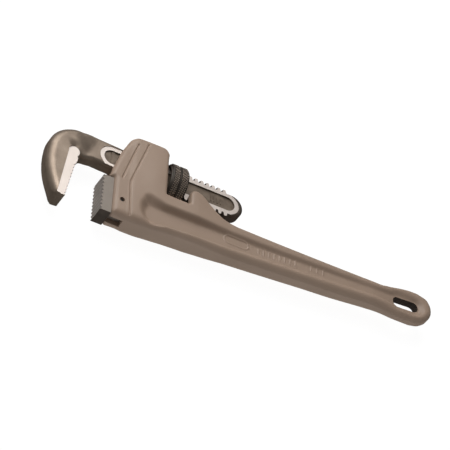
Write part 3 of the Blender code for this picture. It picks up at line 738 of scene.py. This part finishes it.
# %% Material helpers
def new_material(name, metallic, roughness, specular=0.5):
    material = bpy.data.materials.new(name)
    material.use_nodes = True
    tree = material.node_tree
    shader = tree.nodes["Principled BSDF"]
    shader.inputs["Metallic"].default_value = metallic
    shader.inputs["Roughness"].default_value = roughness
    shader.inputs["Specular IOR Level"].default_value = specular
    place = tree.nodes.new("ShaderNodeTexCoord").outputs["Object"]
    return material, tree, shader, place


def noise(tree, place, size_mm, detail=3.0, stretch=(1, 1, 1)):
    """Noise whose grains are about this many millimetres across."""
    spread = add(tree, "ShaderNodeMapping", {"Vector": place, "Scale": stretch}).outputs[0]
    inputs = {"Vector": spread, "Scale": 1.0 / (size_mm * MM), "Detail": detail}
    return add(tree, "ShaderNodeTexNoise", inputs).outputs["Fac"]


def between(tree, value, low, high, start=0.3, end=0.7):
    """Spread a noise value over a range of roughness, height or share."""
    inputs = {"Value": value, "From Min": start, "From Max": end, "To Min": low, "To Max": high}
    return add(tree, "ShaderNodeMapRange", inputs).outputs[0]


def blend(tree, share, a, b):
    """Mix two colours; either may be a colour or another blend."""
    node = add(tree, "ShaderNodeMix", {0: share}, data_type="RGBA")
    for socket, colour in ((node.inputs[6], a), (node.inputs[7], b)):
        if isinstance(colour, bpy.types.NodeSocket):
            tree.links.new(colour, socket)
        else:
            socket.default_value = (*colour, 1.0)
    return node.outputs[2]


def bump(tree, shader, *layers):
    """Stack bump layers, each a (height, depth in millimetres) pair."""
    normal = None
    for height, depth in layers:
        inputs = {"Height": height, "Distance": depth * MM, "Strength": 1.0}
        if normal is not None:
            inputs["Normal"] = normal
        normal = add(tree, "ShaderNodeBump", inputs).outputs[0]
    tree.links.new(normal, shader.inputs["Normal"])


SPECK_SHARE = 0.35  # how far the specks draw the tone to the middle of its two colours


def finish(name, light, dark, metallic, rough, tone_mm, grain_mm, grain_depth, stretch=(1, 1, 1)):
    """The common build of a finish: two tones, grain in the roughness, and a fine and a slow bump."""
    material, tree, shader, place = new_material(name, metallic, sum(rough) / 2)
    tone = between(tree, noise(tree, place, tone_mm, 4.0), 0.0, 1.0)
    fine = noise(tree, place, grain_mm, 2.0, stretch)
    speck = between(tree, fine, 0.0, 1.0)
    mixed = blend(tree, tone, dark, light)
    middle = tuple((a + b) / 2 for a, b in zip(light, dark))
    mixed = blend(tree, between(tree, speck, 0.0, SPECK_SHARE, 0.0, 1.0), mixed, middle)
    tree.links.new(mixed, shader.inputs["Base Color"])
    tree.links.new(between(tree, fine, *rough), shader.inputs["Roughness"])
    slow = noise(tree, place, grain_mm * 6, 1.0)
    bump(tree, shader, (slow, grain_depth * 2.0), (speck, grain_depth))
    return material


# %% [markdown]
# ### The finishes of this wrench
# The casting wears a satin coat, with a much darker copy painted as shade on the walls of the hang hole.
# The forging is oiled and brown where it left the dies, bright where it was milled, and dark with scale
# in its panel, round its end and between the thread's teeth, darkened further there as painted shade.
# The heel jaw is painted with shade on its bottom face and down-facing tooth flanks, and its worn lands
# with a painted highlight. The nut is black oxide with the knurl's tips worn bright.

# %% Finishes of this wrench
COAT = finish("satin_cast_coat", (0.345, 0.249, 0.186), (0.30, 0.214, 0.157), 0.0, (0.42, 0.56),
              tone_mm=45, grain_mm=1.1, grain_depth=0.02)
FORGED = finish("oiled_forging", (0.35, 0.278, 0.218), (0.235, 0.183, 0.14), 0.75, (0.36, 0.52),
                tone_mm=16, grain_mm=1.3, grain_depth=0.03)
MILLED_STEEL = finish("milled_steel", (0.86, 0.765, 0.70), (0.78, 0.69, 0.625), 0.6, (0.34, 0.46),
                      tone_mm=20, grain_mm=0.5, grain_depth=0.004, stretch=(0.15, 1, 1))
# Forge scale in the shank's panel, darkened further as painted shade in the recess.
PANEL_SCALE_AND_SHADE = finish("panel_scale_and_painted_shade", (0.225, 0.174, 0.13), (0.115, 0.085, 0.06), 0.4, (0.42, 0.6),
                     tone_mm=9, grain_mm=0.9, grain_depth=0.04)
TOOTH_STEEL = finish("bright_tooth_steel", (0.95, 0.86, 0.80), (0.85, 0.77, 0.71), 0.2, (0.34, 0.46),
                     tone_mm=10, grain_mm=0.5, grain_depth=0.004)
# A copy of the jaw steel for the heel jaw's down-facing tooth flanks, painted as shade.
SHADED_FLANK_STEEL = finish("painted_shade_tooth_flanks", (0.30, 0.268, 0.243), (0.22, 0.196, 0.178), 0.1, (0.40, 0.52),
                    tone_mm=4, grain_mm=0.6, grain_depth=0.008)
# A much darker copy of the coat, painted as shade on the walls of the hang hole.
SHADED_COAT = finish("painted_shade_in_slot", (0.05, 0.033, 0.023), (0.04, 0.026, 0.018), 0.0, (0.5, 0.6),
                     tone_mm=12, grain_mm=1.1, grain_depth=0.02)
# Bright steel on the heel jaw's tooth lands: wear, with a painted highlight.
WORN_AND_HIGHLIT_LANDS = finish("worn_tooth_lands_painted_highlight", (0.72, 0.645, 0.59), (0.56, 0.5, 0.455), 0.1, (0.40, 0.52),
                    tone_mm=4, grain_mm=0.6, grain_depth=0.008)
HEEL_STEEL = finish("ground_jaw_steel", (0.29, 0.25, 0.212), (0.245, 0.208, 0.176), 0.3, (0.40, 0.52),
                    tone_mm=18, grain_mm=0.6, grain_depth=0.008, stretch=(1, 0.3, 1))
NUT_STEEL = finish("black_oxide_nut", (0.062, 0.049, 0.038), (0.034, 0.026, 0.02), 0.4, (0.4, 0.55),
                   tone_mm=8, grain_mm=0.5, grain_depth=0.01)
KNURL_STEEL = finish("worn_knurl_tips", (0.78, 0.64, 0.52), (0.5, 0.4, 0.32), 0.3, (0.36, 0.5),
                     tone_mm=6, grain_mm=0.5, grain_depth=0.01)
# Dark steel: forge scale, and painted shade between the thread's teeth, round the shank's end and under the
# heel jaw.
SCALE_AND_SHADE_STEEL = finish("forge_scale_and_painted_shade", (0.11, 0.085, 0.067), (0.06, 0.046, 0.036), 0.4, (0.42, 0.6),
                     tone_mm=9, grain_mm=0.9, grain_depth=0.04)
SPRING_STEEL = finish("blued_spring_steel", (0.11, 0.115, 0.13), (0.07, 0.07, 0.08), 0.9, (0.25, 0.35),
                      tone_mm=6, grain_mm=0.4, grain_depth=0.004)
PIN_STEEL = finish("dark_pin_steel", (0.035, 0.028, 0.023), (0.02, 0.016, 0.013), 0.5, (0.35, 0.45),
                   tone_mm=4, grain_mm=0.4, grain_depth=0.006)


# %% [markdown]
# ### Painting by faces
# A piece of steel carries several finishes, each ending at a machined edge. They could be painted
# with a mask, but every border here is an edge of the mesh, so each face is asked where it lies
# and which way it points, and gets its finish from that.

# %% Painting helpers
def paint(piece, *materials):
    piece.data.materials.clear()
    for material in materials:
        piece.data.materials.append(material)


def face_arrays(piece):
    """Face centres in the drawing's millimetres, and face normals, as columns x, y, z."""
    mesh = piece.data
    centres = np.empty(len(mesh.polygons) * 3, np.float32)
    normals = np.empty(len(mesh.polygons) * 3, np.float32)
    mesh.polygons.foreach_get("center", centres)
    mesh.polygons.foreach_get("normal", normals)
    back = np.array(TO_FRAME.inverted())
    centres = centres.reshape(-1, 3) @ back[:3, :3].T + back[:3, 3]
    return centres.T, normals.reshape(-1, 3).T


def finish_faces(piece, kinds):
    """Give every face the finish of its number, counted in the order that paint was given."""
    piece.data.polygons.foreach_set("material_index", kinds.astype(np.int32))
    print(piece.name, "faces by finish:", np.bincount(kinds).tolist())


# %% Painting the casting and the coil
SLOT_BAND = 1.0  # mm either side of the slot's outline
paint(casting, COAT, SHADED_COAT)
(x, y, z), (_, _, facing_up) = face_arrays(casting)
# The walls of the hang hole are painted dark as the shade that falls inside the hole.
slot_wall_shade = (np.abs(inside(x, y, HANG_SLOT)) < SLOT_BAND) & (np.abs(facing_up) < 0.3)
finish_faces(casting, slot_wall_shade.astype(int))
paint(coil, SPRING_STEEL)

# %% Painting the hook jaw
LEVEL = 0.03  # mm within which a face lies on a machined level
TAIL_X = 129.0  # the shank's round end is dark from here on
FLANK_Y = 12.3  # half the height of the shank, beyond which the thread's flanks are dark
BITE_REACH = 2.3
paint(hook, FORGED, MILLED_STEEL, PANEL_SCALE_AND_SHADE, TOOTH_STEEL, SCALE_AND_SHADE_STEEL)
(x, y, z), (_, facing_back, facing_up) = face_arrays(hook)
flat, height = np.abs(facing_up) > 0.95, np.abs(z)
# The panel is painted dark: forge scale, with painted shade in the recess.
in_panel = (inside(x, y, PANEL) > -0.3) & (height < SHANK_HALF - 0.02) & (height > PANEL_Z - 0.1)
milled = flat & (inside(x, y, MILLED) > -0.2) & (np.abs(height - SHANK_HALF) < LEVEL)
milled |= flat & (inside(x, y, POCKET) > -0.2) & (np.abs(height - POCKET_Z) < LEVEL)
bite = (distance(x, y, [THROAT, TIP]) < BITE_REACH) & (np.abs(facing_up) < 0.2) & (height < POCKET_Z)
bite &= facing_back > -0.85  # the blunt end of the jaw stays forged
# The shank's round end and the thread's teeth beyond the flats are painted dark: forge scale, with painted
# shade between the teeth and round the end.
scale_and_shade = (x > TAIL_X) & ~milled
scale_and_shade |= (x > RACK_LEFT) & (np.abs(y - SHANK_Y) > FLANK_Y) & ~milled
finish_faces(hook, np.select([in_panel, milled, bite, scale_and_shade], [2, 1, 3, 4], 0))

# %% Painting the nut
paint(nut, NUT_STEEL, KNURL_STEEL)
(x, y, z), _ = face_arrays(nut)
worn = np.hypot(y - SHANK_Y, z) > DRUM_R + KNURL_DEPTH * 0.75
finish_faces(nut, worn.astype(int))

# %% Painting the heel jaw
paint(heel, HEEL_STEEL, SCALE_AND_SHADE_STEEL, SHADED_FLANK_STEEL, WORN_AND_HIGHLIT_LANDS)
(x, y, z), (facing_tail, facing_back, _) = face_arrays(heel)
# The down-facing tooth flanks are painted as shade.
shaded_flank = (facing_back < -0.3) & (facing_tail < -0.3)
# The forward-facing lands are painted bright: wear, with a painted highlight.
land = (facing_tail < -0.95) & (x < HEEL_FACE + 0.2)
# The heel jaw's bottom face is painted dark as the shade under it.
finish_faces(heel, np.select([y < HEEL_LOW + 0.2, shaded_flank, land], [1, 2, 3], 0))

# %% Finishes of the pieces kept from the frame
for node, material in (("flat_spring", SPRING_STEEL), ("spring_rivet", PIN_STEEL),
                       ("heel_jaw_pin", PIN_STEEL)):
    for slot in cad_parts[node].material_slots:
        slot.material = material
    print(node, "is finished in", material.name)

# %% [markdown]
# ## Riding
# Each finished piece takes the place of one imported node and moves with its body. The nut turns, the
# hook slides, and both rock a little with the flat spring. The coil stands between the casting and
# the flat spring, so it rides on the casting.

# %% Each piece rides on its body
for piece, node, body, slot in ((casting, "handle", "handle", "handle_coating"),
                                (hook, "hook_jaw", "hook", "hook_jaw_steel"),
                                (heel, "heel_jaw", "handle", "heel_jaw_steel"),
                                (nut, "adjusting_nut", "nut", "nut_steel"),
                                (coil, "coil_spring", "handle", "spring_steel")):
    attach(piece, body)
    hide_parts(node)
    print(piece.name, "stands for", node, "and rides on", body)
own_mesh(coil)

# %% [markdown]
# ## Studio
# The wrench lies on a pale table in a pale room, under three soft lights: a broad one over the back
# of the wrench, a smaller one overhead, and one low at the side that draws a highlight down the
# back of the hook. The table glows a little, so that it stays pale all over, and both table and
# room are dim for reflections, as black cards make them round polished tools.

# %% Table
FLOOR_HALF = 6.0  # metres
FLOOR_GLOW, FLOOR_GLOW_SHARE = 1.12, 0.85
FLOOR_REFLECTED = 0.05
floor_work = bmesh.new()
bmesh.ops.create_grid(floor_work, x_segments=1, y_segments=1, size=FLOOR_HALF)
floor = new_piece("floor", floor_work)
floor_paint, floor_tree, floor_shader, _ = new_material("pale_table", 0.0, 0.9, 0.0)
floor_shader.inputs["Base Color"].default_value = (0.7, 0.7, 0.7, 1)
glow = add(floor_tree, "ShaderNodeEmission", {"Color": (1, 1, 1, 1), "Strength": FLOOR_GLOW})
shade = add(floor_tree, "ShaderNodeEmission", {"Color": (1, 0.85, 0.72, 1), "Strength": FLOOR_REFLECTED})
lit = add(floor_tree, "ShaderNodeMixShader",
          {0: FLOOR_GLOW_SHARE, 1: floor_shader.outputs[0], 2: glow.outputs[0]})
glossy = floor_tree.nodes.new("ShaderNodeLightPath").outputs["Is Glossy Ray"]
either = add(floor_tree, "ShaderNodeMixShader", {0: glossy, 1: lit.outputs[0], 2: shade.outputs[0]})
floor_tree.links.new(either.outputs[0], floor_tree.nodes["Material Output"].inputs["Surface"])
paint(floor, floor_paint)
print("table:", 2 * FLOOR_HALF, "m square")

# %% Room and lights
ROOM_LIGHT, ROOM_REFLECTED = 0.25, 0.1
world = bpy.data.worlds.new("pale_room")
world.use_nodes = True
room = world.node_tree.nodes["Background"]
room.inputs["Color"].default_value = (1, 1, 1, 1)
glossy = world.node_tree.nodes.new("ShaderNodeLightPath").outputs["Is Glossy Ray"]
dimmed = add(world.node_tree, "ShaderNodeMapRange",
             {"Value": glossy, "To Min": ROOM_LIGHT, "To Max": ROOM_REFLECTED})
world.node_tree.links.new(dimmed.outputs[0], room.inputs["Strength"])
bpy.context.scene.world = world


def soft_light(name, place, size, power):
    """A square lamp aimed at the wrench; sizes in metres, power in watts."""
    data = bpy.data.lights.new(name, "AREA")
    data.size = size
    data.energy = power
    lamp = bpy.data.objects.new(name, data)
    lamp.location = place
    lamp.rotation_euler = (Vector((0, 0, 0)) - Vector(place)).to_track_quat("-Z", "Y").to_euler()
    bpy.context.scene.collection.objects.link(lamp)
    print(name, "light:", power, "W")


soft_light("window", (-0.35, 0.9, 1.1), 1.1, 11.4)
soft_light("overhead", (-0.6, 0.2, 1.2), 0.8, 5.0)
soft_light("side", (-1.05, 1.0, 0.7), 0.9, 4.0)

# %% [markdown]
# ## Camera
# A long lens from over two metres away keeps the two ends of the wrench nearly the same size. The
# camera is rolled, so that the handle falls away to the lower right.

# %% Camera
AZIMUTH, ELEVATION, ROLL = (math.radians(d) for d in (-27.85, 41.88, 41.2))
DISTANCE = 2.2
LENS = 178.7
AIM = TO_FRAME @ Vector((133.2, 36.2, 0.0))
back = Vector((math.sin(AZIMUTH) * math.cos(ELEVATION), -math.cos(AZIMUTH) * math.cos(ELEVATION),
               math.sin(ELEVATION)))
level = Vector((math.cos(AZIMUTH), math.sin(AZIMUTH), 0))
right = level * math.cos(ROLL) + back.cross(level) * math.sin(ROLL)
camera = bpy.data.objects.new("camera", bpy.data.cameras.new("camera"))
camera.data.lens = LENS
facing = Matrix((right, back.cross(right), back)).transposed().to_4x4()
camera.matrix_world = Matrix.Translation(AIM + back * DISTANCE) @ facing
bpy.context.scene.collection.objects.link(camera)
bpy.context.scene.camera = camera
bpy.context.scene.view_settings.view_transform = "Standard"
print("camera:", DISTANCE, "m away,", LENS, "mm lens")

# %% [markdown]
# ## Last update
# The view layer is brought up to date once more.

# %% Last update
bpy.context.view_layer.update()
